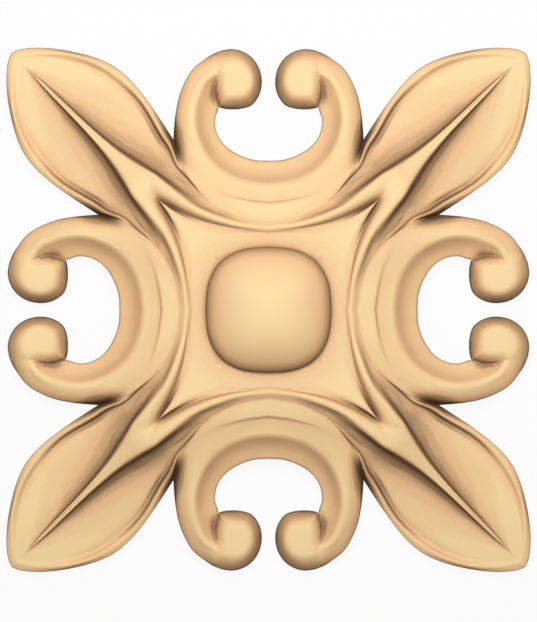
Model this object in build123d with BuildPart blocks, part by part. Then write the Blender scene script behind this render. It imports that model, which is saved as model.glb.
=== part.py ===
from build123d import *
import os
from math import cos, sin, pi, sqrt

# Carved square medallion: domed boss, four ribbed leaves and four C-scrolls in one solid.
# Lies on its flat back, centred on the origin, relief toward +Z. Millimetres.

# Overall: the lofts run a little under the base plane and are cut flat at the end
total_height = 50.0
base_trim = 4.0

# Boss
boss_half = 48.0
boss_squareness = 2.6
boss_dome_radius = 96.0
boss_rim_bevel = 4.5
boss_outline_points = 6

# Centre plate, recessed inside the ribs
plate_z = 32.0
plate_mid = 63.0
plate_corner = 86.0
plate_bend = 40.0
plate_bow = 4.0

# Ribs round the plate: inner foot, crest and outer foot as (x, y, z), from the side's middle to the leaf
rib_stations = [
    ((0, 60, 32.0), (0, 63.5, 32.4), (0, 67.5, 29.6)),
    ((20, 61, 32.0), (19.5, 65, 33.2), (18, 71, 29.4)),
    ((50, 66.5, 32.0), (47.5, 74, 35.4), (44, 84, 27.5)),
    ((88, 80, 31.5), (80, 91.5, 34.2), (70, 105, 20.5)),
    ((104, 93, 26.0), (95, 101, 30.0), (85, 113.5, 14.0)),
]
rib_overrun = 3.0

# Leaf, cut across its diagonal: distance from the centre, half width, then the crest height,
# a point on the midrib's flank (offset, height), gutter and bead heights
leaf_stations = [
    (98, 27.0, 31.0, (13.0, 29.0), 24.0, 24.2),
    (120, 29.5, 32.0, (14.0, 29.5), 21.0, 21.6),
    (140, 38.5, 31.6, (15.0, 23.5), 13.3, 14.5),
    (160, 44.8, 26.6, (13.0, 17.0), 8.6, 10.0),
    (200, 50.6, 18.2, (9.0, 11.8), 5.7, 7.6),
    (220, 47.0, 15.4, (8.0, 10.5), 6.4, 8.2),
    (260, 24.5, 10.8, (4.0, 9.6), 8.8, 9.4),
    (279, 15.0, 8.6, (3.0, 8.2), 8.0, 8.2),
]
leaf_bead_width = 12.5
leaf_bead_crest = 4.8
leaf_overcut = 4.0
leaf_bead_full_half = 45.0
leaf_edge_drop = 4.4
leaf_outline = [(52, 86), (62, 102), (73, 129.6), (110, 180), (140, 194.5), (175, 199.9), (192, 197.6)]
leaf_tip = 195.8
leaf_root_inset = 20.0

# C-scroll arm, cut across its sharp inner ridge: point on the ridge, inner wall (offset, height),
# ridge height, shoulder (offset, height) and outer wall (offset, height)
arm_stations = [
    ((0, 95), (18.6, 13.6), 24.4, (22.0, 27.0), (32.0, 20.0)),
    ((20, 98), (18.2, 13.0), 23.4, (22.0, 26.0), (31.0, 20.0)),
    ((39, 108), (17.4, 12.0), 22.4, (19.0, 24.2), (28.0, 16.0)),
    ((51.5, 124.5), (16.0, 10.2), 20.4, (5.0, 20.6), (19.0, 10.0)),
    ((56.5, 145), (16.2, 8.4), 18.6, (3.5, 18.4), (15.7, 8.5)),
    ((52.5, 165), (16.5, 6.0), 15.6, (3.5, 15.8), (16.0, 7.0)),
    ((46, 176), (10.0, 6.0), 13.8, (4.0, 14.2), (15.8, 6.5)),
    ((36, 182), (3.0, 8.0), 12.6, (4.0, 13.2), (16.2, 6.0)),
    ((25, 182), (3.0, 8.0), 12.6, (4.0, 12.8), (16.8, 6.0)),
]

# Curled end of each arm: an oval drawn round three circles, centre and radius
knob_circles = [((22.5, 174.5), 17.5), ((26, 181), 17.9), ((27, 171), 18.0)]
knob_top = 14.0

# Crescent layered over the root of each C-scroll: x, outer edge y, height at that edge
crescent_stations = [(0, 81.0, 28.3), (20, 84.0, 28.2), (40, 90.0, 26.6), (52, 94.5, 23.4)]
crescent_hidden_y = 64.0
crescent_rise = 1.2


def across(point, outward):
    # Upright cutting plane at a point, its local X pointing outward and local Y straight up
    return Plane(origin=(point[0], point[1], 0), x_dir=(outward[0], outward[1], 0),
                 z_dir=(outward[1], -outward[0], 0))


def superellipse(half, power, turn):
    c, s = cos(turn), sin(turn)
    return half * c ** (2 / power), half * s ** (2 / power)


# Boss: squarish outline raised into a dome with a bevelled rim
with BuildPart() as boss:
    with BuildSketch() as boss_outline:
        with BuildLine():
            turns = [i * pi / 2 / boss_outline_points for i in range(boss_outline_points + 1)]
            quarter = [superellipse(boss_half, boss_squareness, t) for t in turns[:-1]]
            quarter.append((0, boss_half))
            Spline(*quarter, tangents=((0, 1), (-1, 0)))
            mirror(about=Plane.YZ)
            mirror(about=Plane.XZ)
        make_face()
    extrude(amount=total_height)
    with Locations((0, 0, total_height - boss_dome_radius)):
        Sphere(boss_dome_radius, mode=Mode.INTERSECT)
    rim = boss.edges().filter_by(lambda e: e.center().Z > total_height / 2)
    chamfer(rim, boss_rim_bevel)

# One leaf: cross-sections lofted along the diagonal, trimmed to the leaf outline
with BuildPart() as leaf:
    for s, half, crest, flank, gutter, bead in leaf_stations:
        with BuildSketch(across((s / sqrt(2), s / sqrt(2)), (-1, 1))):
            with BuildLine():
                scale = min(1, half / leaf_bead_full_half) ** 2
                inner = half - leaf_bead_width * scale
                bead_at = half - leaf_bead_crest * scale
                over = half + leaf_overcut
                over_z = bead - leaf_edge_drop
                Polyline((-inner, gutter), (-bead_at, bead), (-over, over_z), (-over, -base_trim),
                         (over, -base_trim), (over, over_z), (bead_at, bead), (inner, gutter))
                Polyline((inner, gutter), flank, (0, crest))
                Polyline((0, crest), (-flank[0], flank[1]), (-inner, gutter))
            make_face()
    loft()

# Leaf outline, mirrored across the diagonal, cuts the blunt tip and the clean edges
with BuildPart() as leaf_blank:
    for level in (-base_trim / 2, total_height):
        with BuildSketch(Plane.XY.offset(level)):
            with BuildLine():
                upper = Spline(*leaf_outline)
                root = leaf_outline[0]
                tip = leaf_outline[-1]
                lower = Spline(*[(y, x) for x, y in leaf_outline])
                Spline(tip, (leaf_tip, leaf_tip), (tip[1], tip[0]), tangents=(upper % 1, -(lower % 1)))
                inset = root[0] - leaf_root_inset
                Polyline(root, (inset, inset), (root[1], root[0]))
            make_face()
    loft(ruled=True)

with BuildPart() as trimmed_leaf:
    add(leaf.part)
    add(leaf_blank.part, mode=Mode.INTERSECT)

# Rib: one eighth of the star round the plate, lofted along its crest
with BuildPart() as rib:
    for foot_in, top, foot_out in rib_stations:
        run = Vector(foot_out[0] - foot_in[0], foot_out[1] - foot_in[1])
        reach = run.length
        crest_at = sqrt((top[0] - foot_in[0]) ** 2 + (top[1] - foot_in[1]) ** 2)
        with BuildSketch(across(foot_in, (run.X, run.Y))):
            with BuildLine():
                Polyline((reach, foot_out[2]), (crest_at, top[2]), (0, foot_in[2]),
                         (-rib_overrun, foot_in[2] - rib_overrun),
                         (-rib_overrun, -base_trim), (reach, -base_trim), close=True)
            make_face()
    loft()

# C-scroll: inner wall, hollowed slope, ridge, top and bevelled outer side lofted from curl to curl
with BuildPart() as scroll:
    left_stations = [((-point[0], point[1]), *rest) for point, *rest in arm_stations[:0:-1]]
    scroll_stations = left_stations + arm_stations
    with BuildLine() as ridge:
        Spline(*[station[0] for station in scroll_stations])
    ridge_edge = ridge.line.edge()
    for point, wall_in, ridge_z, shoulder, wall_out in scroll_stations:
        along = ridge_edge.tangent_at(ridge_edge.param_at_point(point))
        with BuildSketch(across(point, (along.Y, -along.X))):
            with BuildLine():
                Polyline(shoulder, (0, ridge_z), (-wall_in[0], wall_in[1]), (-wall_in[0], -base_trim),
                         (wall_out[0], -base_trim), wall_out, close=True)
            make_face()
    loft()

# Knob: curled end
with BuildPart() as knob:
    with BuildSketch(Plane.XY.offset(-base_trim)):
        for centre, radius in knob_circles:
            with Locations(centre):
                Circle(radius)
        make_hull()
    extrude(amount=knob_top + base_trim)

# Crescent layered over the root of each C-scroll, lofted from end to end
with BuildPart() as crescent:
    ends = [(-x, y, z) for x, y, z in crescent_stations[:0:-1]]
    for x, edge_y, edge_z in ends + crescent_stations:
        with BuildSketch(across((x, 0), (0, 1))):
            with BuildLine():
                Polyline((edge_y, edge_z), (edge_y, -base_trim), (crescent_hidden_y, -base_trim),
                         (crescent_hidden_y, edge_z + crescent_rise), close=True)
            make_face()
    loft()

# Recessed plate between the ribs
with BuildPart() as plate:
    with BuildSketch():
        with BuildLine():
            bend_at = plate_mid + plate_bow
            Spline((plate_corner, plate_corner), (plate_bend, bend_at), (0, plate_mid),
                   (-plate_bend, bend_at), (-plate_corner, plate_corner))
            mirror(about=Plane.XZ)
            Spline((plate_corner, plate_corner), (bend_at, plate_bend), (plate_mid, 0),
                   (bend_at, -plate_bend), (plate_corner, -plate_corner))
            mirror(about=Plane.YZ)
        make_face()
    extrude(amount=plate_z)

# One side of the square: a rib pair, a crescent and a C-scroll with its two knobs
with BuildPart() as side:
    add(knob.part)
    add(rib.part)
    mirror(about=Plane.YZ)
    add(scroll.part)
    add(crescent.part)

# Whole medallion, cut flat underneath
with BuildPart() as medallion:
    add(plate.part)
    with PolarLocations(0, 4):
        add(side.part)
        add(trimmed_leaf.part)
    add(boss.part)
    split(bisect_by=Plane.XY, keep=Keep.TOP)

medallion.part.label = "medallion"
os.makedirs("parts", exist_ok=True)
export_step(medallion.part, "parts/medallion.step")
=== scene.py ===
import bmesh
import bpy
from math import cos, pi, radians, sin, sqrt
from mathutils import Matrix, Vector
from mathutils.bvhtree import BVHTree


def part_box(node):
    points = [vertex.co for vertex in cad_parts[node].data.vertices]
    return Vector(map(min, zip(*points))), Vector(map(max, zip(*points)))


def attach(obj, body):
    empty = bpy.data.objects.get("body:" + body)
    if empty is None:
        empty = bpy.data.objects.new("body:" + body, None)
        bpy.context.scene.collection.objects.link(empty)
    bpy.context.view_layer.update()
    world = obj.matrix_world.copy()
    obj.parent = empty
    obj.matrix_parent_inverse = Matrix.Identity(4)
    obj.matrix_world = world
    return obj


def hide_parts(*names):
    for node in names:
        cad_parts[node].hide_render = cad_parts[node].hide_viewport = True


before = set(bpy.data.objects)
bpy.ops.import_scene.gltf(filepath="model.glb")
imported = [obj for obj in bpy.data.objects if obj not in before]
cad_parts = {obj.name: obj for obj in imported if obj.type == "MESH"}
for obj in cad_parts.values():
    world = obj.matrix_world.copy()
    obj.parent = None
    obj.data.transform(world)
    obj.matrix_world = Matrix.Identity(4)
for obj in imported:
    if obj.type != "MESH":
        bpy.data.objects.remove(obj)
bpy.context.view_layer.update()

# every size below is in millimetres on this square and follows the frame's own width
square = 400
lowCorner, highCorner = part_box("medallion")
mm = (highCorner.x - lowCorner.x) / square
print("frame loaded, one millimetre is", round(mm, 7))


# curves and surfaces shared by every part of the carving

def onLeaf(along, off, height):
    # point given by its distance along the leaf's diagonal and off to the side of it
    return (along - off) / sqrt(2), (along + off) / sqrt(2), height


def slopesOf(points, breaks=()):
    # tangent at every point of a curve, one sided at its ends and at the sharp points
    last = len(points) - 1
    span = [max((points[k + 1] - points[k]).length, 1e-6) for k in range(last)]
    slopes = []
    for k in range(last + 1):
        before = (points[k] - points[k - 1]) / span[k - 1] if k > 0 else None
        after = (points[k + 1] - points[k]) / span[k] if k < last else None
        if before is None or after is None or k in breaks:
            slopes.append((before or after, after or before))
        else:
            both = (before * span[k] + after * span[k - 1]) / (span[k] + span[k - 1])
            slopes.append((both, both))
    return span, slopes


def between(points, span, slopes, k, t):
    # point at share t between control points k and k + 1
    a, b = points[k], points[k + 1]
    m, n = slopes[k][1] * span[k], slopes[k + 1][0] * span[k]
    t2, t3 = t * t, t * t * t
    return a * (2 * t3 - 3 * t2 + 1) + m * (t3 - 2 * t2 + t) + b * (3 * t2 - 2 * t3) + n * (t3 - t2)


def trace(points, marks, counts):
    # smooth curve through the points, with so many even steps up to each marked one and then the last
    points = [Vector(p) for p in points]
    span, slopes = slopesOf(points)
    fine = 12
    traced, start = [], 0
    for mark, count in zip(marks + (len(points) - 1,), counts):
        stretch = range(start, mark)
        dense = [between(points, span, slopes, k, j / fine) for k in stretch for j in range(fine)]
        dense.append(points[mark])
        run = [0.0]
        for a, b in zip(dense, dense[1:]):
            run.append(run[-1] + (b - a).length)
        k = 0
        for i in range(count):
            want = run[-1] * i / count
            while run[k + 1] < want:
                k += 1
            share = (want - run[k]) / max(run[k + 1] - run[k], 1e-9)
            traced.append(dense[k].lerp(dense[k + 1], share))
        start = mark
    traced.append(points[start])
    return traced


def drape(bm, rails, faces, sharp=()):
    # lays a grid over the rails: faces[k] is the number of faces between rail k and rail k + 1
    long, wide = len(rails[0]) - 1, sum(faces)
    grid = bmesh.ops.create_grid(bm, x_segments=long, y_segments=wide, size=0.5)["verts"]
    rows = []
    for i in range(long + 1):
        points = [rail[i] for rail in rails]
        span, slopes = slopesOf(points, sharp)
        row = [between(points, span, slopes, k, j / n) for k, n in enumerate(faces) for j in range(n)]
        rows.append(row + [points[-1]])
    for v in grid:
        v.co = rows[round((v.co.x + 0.5) * long)][round((v.co.y + 0.5) * wide)] * mm
    return rows


# steps along the carving, from the middle of a side to a leaf's tip and round a scroll
steps = {"root": 20, "fork": 14, "notch": 30, "leaf": 76, "arm": 22, "curl": 26}
forkToNotch = steps["notch"] - steps["fork"]

bm = bmesh.new()

# star ribs and midrib, from the plate's side over the lip and crest and down the flank to the foot
rib = {
    "plateSide": [(0, 60, 32.0), (20, 61.5, 31.9), (34, 63.3, 31.6), (49, 66.8, 31.0), (62, 72, 30.2),
                  (75, 79, 29.0), (81, 82.9, 29.3), (86, 86, 30.6)],
    "midrib": [(86, 86, 30.6), (92, 92, 32.4), (98, 98, 31.9), (106, 106, 29.1), (114.5, 114.5, 26.1),
               (127, 127, 22.0), (140, 140, 18.6), (157, 157, 15.0), (174, 174, 12.0),
               (185.5, 185.5, 9.9)],
    "crest": [(0, 63, 32.3), (20, 65, 33.0), (34, 69, 34.3), (49, 74.6, 35.1), (59.8, 80.4, 35.3),
              (70.2, 87.8, 34.9), (78.9, 95.4, 33.9), (87, 102.8, 32.4), onLeaf(143.7, 8.8, 30),
              onLeaf(153, 6.3, 27.6), onLeaf(164, 4.5, 25), onLeaf(190, 2.1, 20.2),
              onLeaf(215, 1.4, 16.4), onLeaf(245, 0.9, 12.4), (185.5, 185.5, 9.9)],
    "flank": [(0, 65.3, 31.3), (20, 68, 31.3), (32, 72.5, 31.0), (47, 79, 30.4), (59.5, 88, 28.2),
              (70, 95.4, 26.0), (80, 102.3, 22.7), (89.8, 108.6, 19.6), onLeaf(150, 11.5, 18.1),
              onLeaf(160, 8.8, 16.3), onLeaf(180, 5.7, 13.9), onLeaf(200, 4, 12.0),
              onLeaf(230, 2.7, 10.6), (185.5, 185.5, 9.9)],
    "foot": [(0, 67.3, 30.2), (20, 70.6, 29.8), (33, 75.5, 29.2), (45, 82.5, 27.9), (56, 90.2, 25.2),
             (67.5, 99.2, 22.4), (77, 106.3, 18.8), (86.3, 112.2, 14.9), onLeaf(150, 17.5, 12.3),
             onLeaf(160, 14, 11.1), onLeaf(180, 9.6, 9.7), onLeaf(200, 7.0, 8.9),
             onLeaf(230, 5.2, 9.2), (185.5, 185.5, 9.9)],
    "marks": {"plateSide": (3,), "midrib": (2,), "crest": (4, 6, 8), "flank": (3, 5, 7), "foot": (3, 5, 7)},
    "lipAt": 0.35,  # between the plate's side and the crest, quick to rise and slow to fall
    "lipRise": 0.78,
    "lipFall": 0.2,
    "faces": (3, 4, 6, 6),
}

ribSteps = (steps["root"], steps["fork"], forkToNotch, steps["leaf"])
foot = trace(rib["foot"], rib["marks"]["foot"], ribSteps)
flank = trace(rib["flank"], rib["marks"]["flank"], ribSteps)
crest = trace(rib["crest"], rib["marks"]["crest"], ribSteps)
inside = trace(rib["plateSide"], rib["marks"]["plateSide"], (steps["root"], steps["fork"]))[:-1]
inside += trace(rib["midrib"], rib["marks"]["midrib"], (forkToNotch, steps["leaf"]))
lip = []
for near, far in zip(inside, crest):
    spot = near.lerp(far, rib["lipAt"])
    gain = far.z - near.z
    spot.z = near.z + gain * (rib["lipRise"] if gain > 0 else rib["lipFall"])
    lip.append(spot)
drape(bm, [inside, lip, crest, flank, foot], rib["faces"])
print("ribs draped,", len(inside), "steps long")

# leaf blade from the midrib's foot to the rim
leaf = {
    # where the bead's root meets the scroll, down into the notch between them
    "notch": [(45, 82.5, 27.9), (51.4, 89.3, 26.3), (58.4, 98.3, 24.4), (64.8, 106.6, 21.3),
              (68.2, 114, 16.6), (70.2, 121.5, 11.3), (72.6, 130, 7.2)],
    "floor": [(45, 82.5, 27.9), (52.9, 88.3, 25.9), (61.5, 96.3, 22.8), (75.2, 107.4, 18.3),
              onLeaf(142, 24.5, 13.6), onLeaf(150, 25.3, 11.6), onLeaf(160, 25, 10.2),
              onLeaf(180, 23, 8.8), onLeaf(200, 21, 8.2), onLeaf(230, 17, 8.8), onLeaf(245, 12.5, 9.5),
              (187.3, 187.3, 9.6)],
    "gutter": [(45, 82.5, 27.9), (52.6, 88.6, 25.9), (60.8, 96.9, 22.9), (72.8, 108.4, 18.2),
               onLeaf(142, 28.8, 12.8), onLeaf(150, 30.2, 10.8), onLeaf(160, 32.8, 9.0),
               onLeaf(180, 37.3, 7.2), onLeaf(200, 36.8, 7.1), onLeaf(230, 30, 7.8),
               onLeaf(245, 21.5, 8.9), onLeaf(258, 12, 9.3), (188.8, 188.8, 9.4)],
    "beadInside": [(45, 82.5, 27.9), (52.3, 88.8, 26.0), (60.1, 97.4, 23.0), (70.8, 109, 18.2),
                   onLeaf(142, 31.8, 11.8), onLeaf(150, 33.3, 9.2), onLeaf(160, 35.8, 7.6),
                   onLeaf(170, 38.5, 6.6), onLeaf(180, 40.4, 6.1), onLeaf(200, 40.3, 6.1),
                   onLeaf(230, 33.2, 7.2), onLeaf(245, 24.5, 8.6), onLeaf(260, 12.5, 9.3),
                   (190.5, 190.5, 9.3)],
    "bead": [(45, 82.5, 27.9), (51.9, 89, 26.2), (59.4, 97.8, 23.8), (69.2, 109.8, 19.4),
             onLeaf(142, 34.8, 14.6), onLeaf(150, 36.3, 12.5), onLeaf(160, 38.9, 10.8),
             onLeaf(170, 41.7, 9.6), onLeaf(180, 43.8, 8.9), onLeaf(200, 44.7, 8.6),
             onLeaf(230, 38.3, 9.7), onLeaf(245, 30.2, 10.3), onLeaf(262, 14, 9.9),
             (192.5, 192.5, 9.4)],
    "edge": [(72.6, 130, 7.2), (80, 141.5, 8.0), (90, 156.2, 7.8), (100, 169.4, 7.4),
             (110, 179.8, 7.3), (120, 187, 7.2), (130, 191.5, 7.4), (150, 197, 7.8), (165, 199.3, 8.0),
             (180, 199.7, 8.1), (190, 198.4, 8.1), (194.2, 196.8, 8.1), (195.9, 195.9, 8.1)],
    "marks": (4,),
    "faces": (6, 6, 4, 4, 4),
}

leafSteps = (steps["notch"], steps["leaf"])
notch = trace(leaf["notch"], (), (steps["notch"],))
edge = notch[:-1] + trace(leaf["edge"], (), (steps["leaf"],))
leafRails = [foot[steps["root"]:]]
for name in ("floor", "gutter", "beadInside", "bead"):
    leafRails.append(trace(leaf[name], leaf["marks"], leafSteps))
leafRails.append(edge)
drape(bm, leafRails, leaf["faces"])
print("leaf draped")

# scroll from the middle of a side round to its curl
scroll = {
    "outside": [(72.6, 130, 7.2), (71.9, 140, 8.5), (70.4, 152, 8.8), (66.4, 165.5, 8.2),
                (60.3, 177.8, 7.6), (52, 188, 7.0), (43.5, 194.6, 6.6), (36, 197.8, 6.4)],
    "shoulder": [(0, 74, 29.4), (20, 77.6, 29.1), (37, 84.8, 28.0), (47, 92, 26.3), (56, 101.5, 23.4),
                 (62.5, 113.4, 20.6), (68.6, 131.4, 14.3), (70.3, 145.2, 13.2), (68.8, 157.5, 12.2),
                 (64.8, 170.2, 10.8), (57.5, 183, 9.4), (41.4, 193.4, 9.2)],
    "stepTop": [(0, 80.7, 28.4), (20, 83.5, 28.1), (38.5, 89.3, 26.9), (46, 95, 25.4),
                (52.4, 104, 23.4), (59.4, 115, 21.3), (65.4, 132.3, 17.4), (67.1, 145.2, 15.7),
                (65.8, 157, 14.5), (61.6, 168.8, 13.2), (54.8, 180.8, 11.6), (40.5, 190, 11.6)],
    "stepFoot": [(0, 81.9, 27.1), (20, 84.9, 26.9), (38, 90.9, 26.1), (45, 96.6, 25.0),
                 (51, 105.2, 23.3), (57.6, 115.8, 21.5), (62, 133, 18.8), (63.6, 145.2, 17.4),
                 (62.3, 156.4, 16.2), (58.4, 167.4, 14.7), (52.1, 178.6, 13.1), (39.7, 186.8, 12.8)],
    "crown": [(0, 88, 25.6), (18, 90.2, 25.2), (33, 96.2, 24.5), (40, 101, 23.8), (47.2, 107.8, 23.0),
              (53.5, 117.8, 21.3), (58.3, 132.6, 19.6), (60.1, 145.2, 18.4), (58.9, 155.8, 17.1),
              (55.3, 166, 15.7), (49.6, 176.4, 14.4), (38.9, 183.4, 13.4)],
    "ridge": [(0, 95, 24.2), (16, 96.8, 23.7), (31, 102.6, 22.8), (37, 106.6, 22.3),
              (42.3, 111.3, 21.7), (49, 120, 20.7), (54.3, 131.8, 19.5), (56.6, 145.2, 18.4),
              (55.5, 155.2, 17.1), (52.2, 165.0, 15.4), (46.9, 174.3, 13.9), (38, 180, 12.9)],
    "slope": [(0, 104.3, 17.4), (14.5, 105.8, 17.2), (26.1, 110.1, 16.5), (31, 113.2, 16.0),
              (36, 117.8, 15.2), (41, 124, 14.1), (45.5, 133.5, 13.0), (47.6, 145.2, 12.0),
              (47, 152.5, 11.3), (46.4, 163.2, 11.3), (44, 172.2, 11.3), (38, 180, 12.9)],
    "hollow": [(0, 113.6, 13.5), (10, 114.1, 13.3), (20, 117, 12.9), (25.5, 119.7, 12.4),
               (30.2, 122.7, 11.9), (36.5, 129.3, 10.9), (40, 137, 9.8), (40.8, 145, 8.9),
               (38.4, 154.8, 7.6), (40.9, 162, 7.2), (41.3, 170, 8.8), (38, 180, 12.9)],
    "marks": (2, 6, 8),
    "outsideMarks": (3,),
    "creases": (2, 3, 5),
    "faces": (5, 4, 2, 4, 4, 4, 5),
}

scrollSteps = (steps["root"], steps["notch"], steps["arm"], steps["curl"])
outside = foot[:steps["root"]] + notch[:-1]
outside += trace(scroll["outside"], scroll["outsideMarks"], (steps["arm"], steps["curl"]))
scrollRails = [outside]
for name in ("shoulder", "stepTop", "stepFoot", "crown", "ridge", "slope"):
    scrollRails.append(trace(scroll[name], scroll["marks"], scrollSteps))
hollow = trace(scroll["hollow"], scroll["marks"], scrollSteps)
scrollRails.append(hollow)
rows = drape(bm, scrollRails, scroll["faces"], sharp=scroll["creases"])
print("scroll draped")

# knob, in rings from its outline and the scroll's last cross line to the middle
knob = {
    "outline": [(38.4, 154.8, 7.6), (34, 153.5, 6.4), (28, 153, 5.2), (20, 153.6, 5.0), (13, 156, 5.0),
                (8.6, 161, 5.0), (5.7, 168, 5.0), (5.1, 175, 5.2), (7, 184, 5.5), (12, 191.8, 5.8),
                (20, 197.2, 6.2), (28, 198.9, 6.4), (36, 197.8, 6.4)],
    "centre": (24, 175.5, 14.7),
    "steps": 48,
    "rings": (0.07, 0.15, 0.23, 0.31, 0.39, 0.48, 0.6, 0.8),
    "reach": 0.5,
    "fullness": 1.7,
}

scrollTop = sum(scroll["faces"][:5])  # faces across the scroll from its outside to the ridge
acrossEnd = rows[-1][: scrollTop + 1]
loop = list(reversed(hollow[-steps["curl"] - 1:]))[:-1]
loop += trace(knob["outline"], (), (knob["steps"],))[:-1]
loop += acrossEnd[:-1]
middle = Vector(knob["centre"])
rings = [loop + [loop[0]]]
for share in knob["rings"] + (1.0,):
    ring = []
    for p in loop:
        rise = 1 - (1 - min(1, share / knob["reach"])) ** knob["fullness"]
        flat = p.lerp(middle, share)
        ring.append(Vector((flat.x, flat.y, p.z + (middle.z - p.z) * rise)))
    rings.append(ring + [ring[0]])
drape(bm, rings, [1] * (len(rings) - 1))
print("knob draped")

# plate between the boss and the ribs, then the domed boss
boss = {
    "half": 48.0,
    "squareness": 2.6,
    "top": 50.0,
    "foot": 31.1,
    "roundness": 0.6,
    "rings": 18,
    "easing": 1.6,
}
plate = {
    "rimAt": 0.12,
    "rimHeight": 31.3,
    "faces": (8, 4),
}

plateSteps = steps["root"] + steps["fork"]
power = boss["squareness"]
bossEdge = []
for i in range(plateSteps + 1):
    toward = inside[i].xy.normalized()
    reach = (toward.x ** power + toward.y ** power) ** (-1 / power)
    bossEdge.append((toward * reach * boss["half"]).to_3d() + Vector((0, 0, boss["foot"])))
plateRails = [bossEdge, [], inside[: plateSteps + 1]]
for near, far in zip(plateRails[2], bossEdge):
    spot = near.lerp(far, plate["rimAt"])
    plateRails[1].append(Vector((spot.x, spot.y, plate["rimHeight"])))
drape(bm, plateRails, plate["faces"], sharp=(1,))  # crisp at the rim
bossRails = []
for j in range(boss["rings"] + 1):
    share = 1 - (1 - j / boss["rings"]) ** boss["easing"]
    height = boss["foot"] + (boss["top"] - boss["foot"]) * (1 - share ** 2) ** boss["roundness"]
    bossRails.append([Vector((p.x * share, p.y * share, height)) for p in bossEdge])
drape(bm, bossRails, [1] * boss["rings"])
print("plate and boss draped")

weld = 0.02 * mm
bmesh.ops.remove_doubles(bm, verts=bm.verts, dist=weld)
bmesh.ops.dissolve_degenerate(bm, edges=bm.edges, dist=weld / 2)

# the eighth is copied over the diagonal, then over both axes
for across in ((1, -1, 0), (1, 0, 0), (0, 1, 0)):
    copied = bmesh.ops.duplicate(bm, geom=bm.verts[:] + bm.edges[:] + bm.faces[:])["geom"]
    copiedVerts = [g for g in copied if isinstance(g, bmesh.types.BMVert)]
    copiedFaces = [g for g in copied if isinstance(g, bmesh.types.BMFace)]
    flip = Matrix.Scale(-1, 4, Vector(across).normalized())
    bmesh.ops.transform(bm, matrix=flip, verts=copiedVerts)
    bmesh.ops.reverse_faces(bm, faces=copiedFaces)
    bmesh.ops.remove_doubles(bm, verts=bm.verts, dist=weld)

# side walls down to the flat back
rim = [e for e in bm.edges if e.is_boundary]
walls = bmesh.ops.extrude_edge_only(bm, edges=rim)["geom"]
for v in (g for g in walls if isinstance(g, bmesh.types.BMVert)):
    v.co.z = 0
back = bmesh.ops.contextual_create(bm, geom=[e for e in bm.edges if e.is_boundary])["faces"]
bmesh.ops.triangulate(bm, faces=back)
bmesh.ops.recalc_face_normals(bm, faces=bm.faces)
print("carving closed:", len(bm.verts), "points,", len(bm.faces), "faces,",
      sum(1 for e in bm.edges if not e.is_manifold), "open edges")

# how open each point is to the sky, kept as an attribute that paints shade into the wood's colour: painted
# shade in the carved recesses and on steep slopes
recess = {"rings": 5, "spokes": 14, "lift": 0.25, "reach": 90.0}


def openness(tree, v):
    start = v.co + v.normal * recess["lift"] * mm
    seen = 0.0
    for ring in range(recess["rings"]):
        lean = sqrt((ring + 0.5) / recess["rings"])
        for spoke in range(recess["spokes"]):
            turn = 2 * pi * (spoke + 0.5 * (ring % 2)) / recess["spokes"]
            toward = Vector((lean * cos(turn), lean * sin(turn), sqrt(1 - lean * lean)))
            facing = toward.dot(v.normal)
            if facing > 0 and tree.ray_cast(start, toward, recess["reach"] * mm)[0] is None:
                seen += facing / toward.z
    return seen / (recess["rings"] * recess["spokes"])


def eighthOf(point):
    # the same place in the upper eighth, as a key; a few points round apart and count as fully open
    across, up = sorted((abs(point.x), abs(point.y)))
    return round(across / mm, 1), round(up / mm, 1), round(point.z / mm, 1)


bm.normal_update()
tree = BVHTree.FromBMesh(bm)
sky = {}
for v in bm.verts:
    if v.co.x >= -weld / 2 and v.co.y >= v.co.x - weld / 2:
        sky[eighthOf(v.co)] = openness(tree, v)
# painted shade: this sky openness is what darkens the base colour in the material
layer = bm.verts.layers.float.new("sky")
for v in bm.verts:
    v[layer] = sky.get(eighthOf(v.co), 1.0)
print("recesses measured at", len(sky), "places")

sharpAngle = 48
mesh = bpy.data.meshes.new("medallion_carving")
bm.to_mesh(mesh)
bm.free()
mesh.shade_smooth()
mesh.set_sharp_from_angle(angle=radians(sharpAngle))
medallion = bpy.data.objects.new("medallion_carving", mesh)
bpy.context.scene.collection.objects.link(medallion)
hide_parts("medallion")
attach(medallion, "root")


# pale wood; its colour runs from a painted dark shade in the deepest recess to the wood's own colour on
# open faces
wood = {
    # colours against sky openness: the darker stops are painted shade, the last is the wood's own colour
    "paintedShadeTones": [(0.0, (0.09, 0.045, 0.02, 1)), (0.55, (0.86, 0.53, 0.27, 1)),
              (1.0, (0.97, 0.72, 0.37, 1))],
    "shadeFalloff": 4.5,
    "roughness": 0.62,
    "specular": 0.25,
}
material = bpy.data.materials.new("pale wood")
material.use_nodes = True
nodes, links = material.node_tree.nodes, material.node_tree.links
shader = nodes["Principled BSDF"]
shader.inputs["Roughness"].default_value = wood["roughness"]
shader.inputs["Specular IOR Level"].default_value = wood["specular"]
# painted shade: sky openness, raised to a power, darkens the base colour in recesses and on slopes
stored = nodes.new("ShaderNodeAttribute")
stored.attribute_name = "sky"
shadeDarkening = nodes.new("ShaderNodeMath")
shadeDarkening.operation = "POWER"
shadeDarkening.inputs[1].default_value = wood["shadeFalloff"]
# ramp from painted dark shade to the open wood colour
shadeRamp = nodes.new("ShaderNodeValToRGB")
shadeRamp.color_ramp.elements.new(wood["paintedShadeTones"][1][0])
for stop, (place, colour) in zip(shadeRamp.color_ramp.elements, wood["paintedShadeTones"]):
    stop.position = place
    stop.color = colour
links.new(stored.outputs["Fac"], shadeDarkening.inputs[0])
links.new(shadeDarkening.outputs["Value"], shadeRamp.inputs["Fac"])
links.new(shadeRamp.outputs["Color"], shader.inputs["Base Color"])
mesh.materials.append(material)


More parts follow.
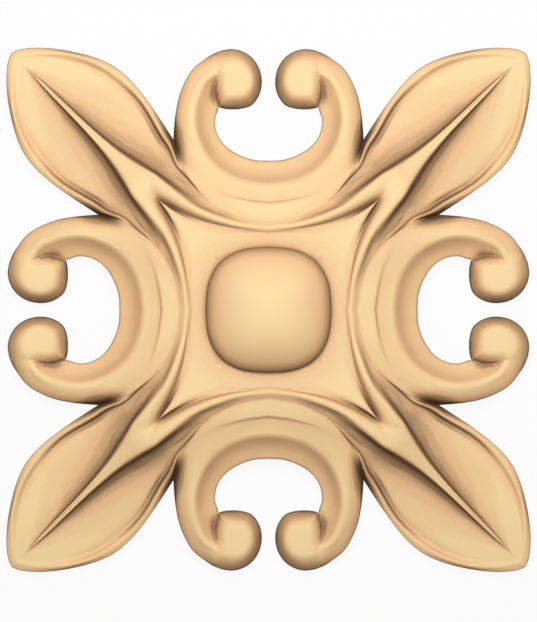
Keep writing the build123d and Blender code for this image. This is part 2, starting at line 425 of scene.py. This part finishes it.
# studio: white floor that keeps the shadow, soft light from the top of the view
studio = {
    "floorHalf": 3.0,
    "floorDrop": 0.0005,
    "floorGrey": 0.8,
    "floorRoughness": 0.9,
    "floorGlow": 0.92,
    "dome": 0.12,
    "keyPower": 24.0,
    "keySize": 1.0,
    "keyAt": (0.0, 0.55, 1.45),
}

bpy.ops.mesh.primitive_plane_add(size=2 * studio["floorHalf"], location=(0, 0, -studio["floorDrop"]))
floor = bpy.context.object
floor.name = "floor"
floorMaterial = bpy.data.materials.new("floor")
floorMaterial.use_nodes = True
nodes, links = floorMaterial.node_tree.nodes, floorMaterial.node_tree.links
plain = nodes["Principled BSDF"]
plain.inputs["Base Color"].default_value = (studio["floorGrey"],) * 3 + (1,)
plain.inputs["Roughness"].default_value = studio["floorRoughness"]
glow = nodes.new("ShaderNodeEmission")
glow.inputs["Color"].default_value = (1, 1, 1, 1)
path = nodes.new("ShaderNodeLightPath")
mirrored = nodes.new("ShaderNodeMath")
mirrored.operation = "ADD"
direct = nodes.new("ShaderNodeMath")
direct.operation = "ADD"
direct.use_clamp = True
strength = nodes.new("ShaderNodeMath")
strength.operation = "MULTIPLY"
strength.inputs[1].default_value = studio["floorGlow"]
mix = nodes.new("ShaderNodeMixShader")
links.new(path.outputs["Is Glossy Ray"], mirrored.inputs[0])
links.new(path.outputs["Is Transmission Ray"], mirrored.inputs[1])
links.new(path.outputs["Is Camera Ray"], direct.inputs[0])
links.new(mirrored.outputs["Value"], direct.inputs[1])
links.new(direct.outputs["Value"], strength.inputs[0])
links.new(strength.outputs["Value"], mix.inputs["Fac"])
links.new(plain.outputs["BSDF"], mix.inputs[1])
links.new(glow.outputs["Emission"], mix.inputs[2])
links.new(mix.outputs["Shader"], nodes["Material Output"].inputs["Surface"])
floor.data.materials.append(floorMaterial)

world = bpy.data.worlds.new("studio")
bpy.context.scene.world = world
world.use_nodes = True
dome = world.node_tree.nodes["Background"]
dome.inputs["Color"].default_value = (1, 1, 1, 1)
dome.inputs["Strength"].default_value = studio["dome"]

lamp = bpy.data.lights.new("key", "AREA")
lamp.energy = studio["keyPower"]
lamp.size = studio["keySize"]
key = bpy.data.objects.new("key", lamp)
key.location = studio["keyAt"]
key.rotation_euler = (-Vector(studio["keyAt"])).to_track_quat("-Z", "Y").to_euler()
bpy.context.scene.collection.objects.link(key)


# camera straight above, the object as wide and as placed as in the photo's pixels
photo = {
    "width": 537,
    "height": 622,
    "objectWide": 524,
    "centreX": 268.5,
    "centreY": 309.85,
    "sensor": 36.0,
    "distance": 6.0,
}
view = bpy.data.cameras.new("camera")
view.sensor_width = photo["sensor"]
perPixel = square * mm / photo["objectWide"]
view.lens = photo["sensor"] * photo["distance"] / (perPixel * photo["height"])
camera = bpy.data.objects.new("camera", view)
camera.location = ((photo["width"] / 2 - photo["centreX"]) * perPixel,
                   (photo["centreY"] - photo["height"] / 2) * perPixel, photo["distance"])
bpy.context.scene.collection.objects.link(camera)
bpy.context.scene.camera = camera
bpy.context.scene.view_settings.view_transform = "Standard"
print("studio and camera ready")
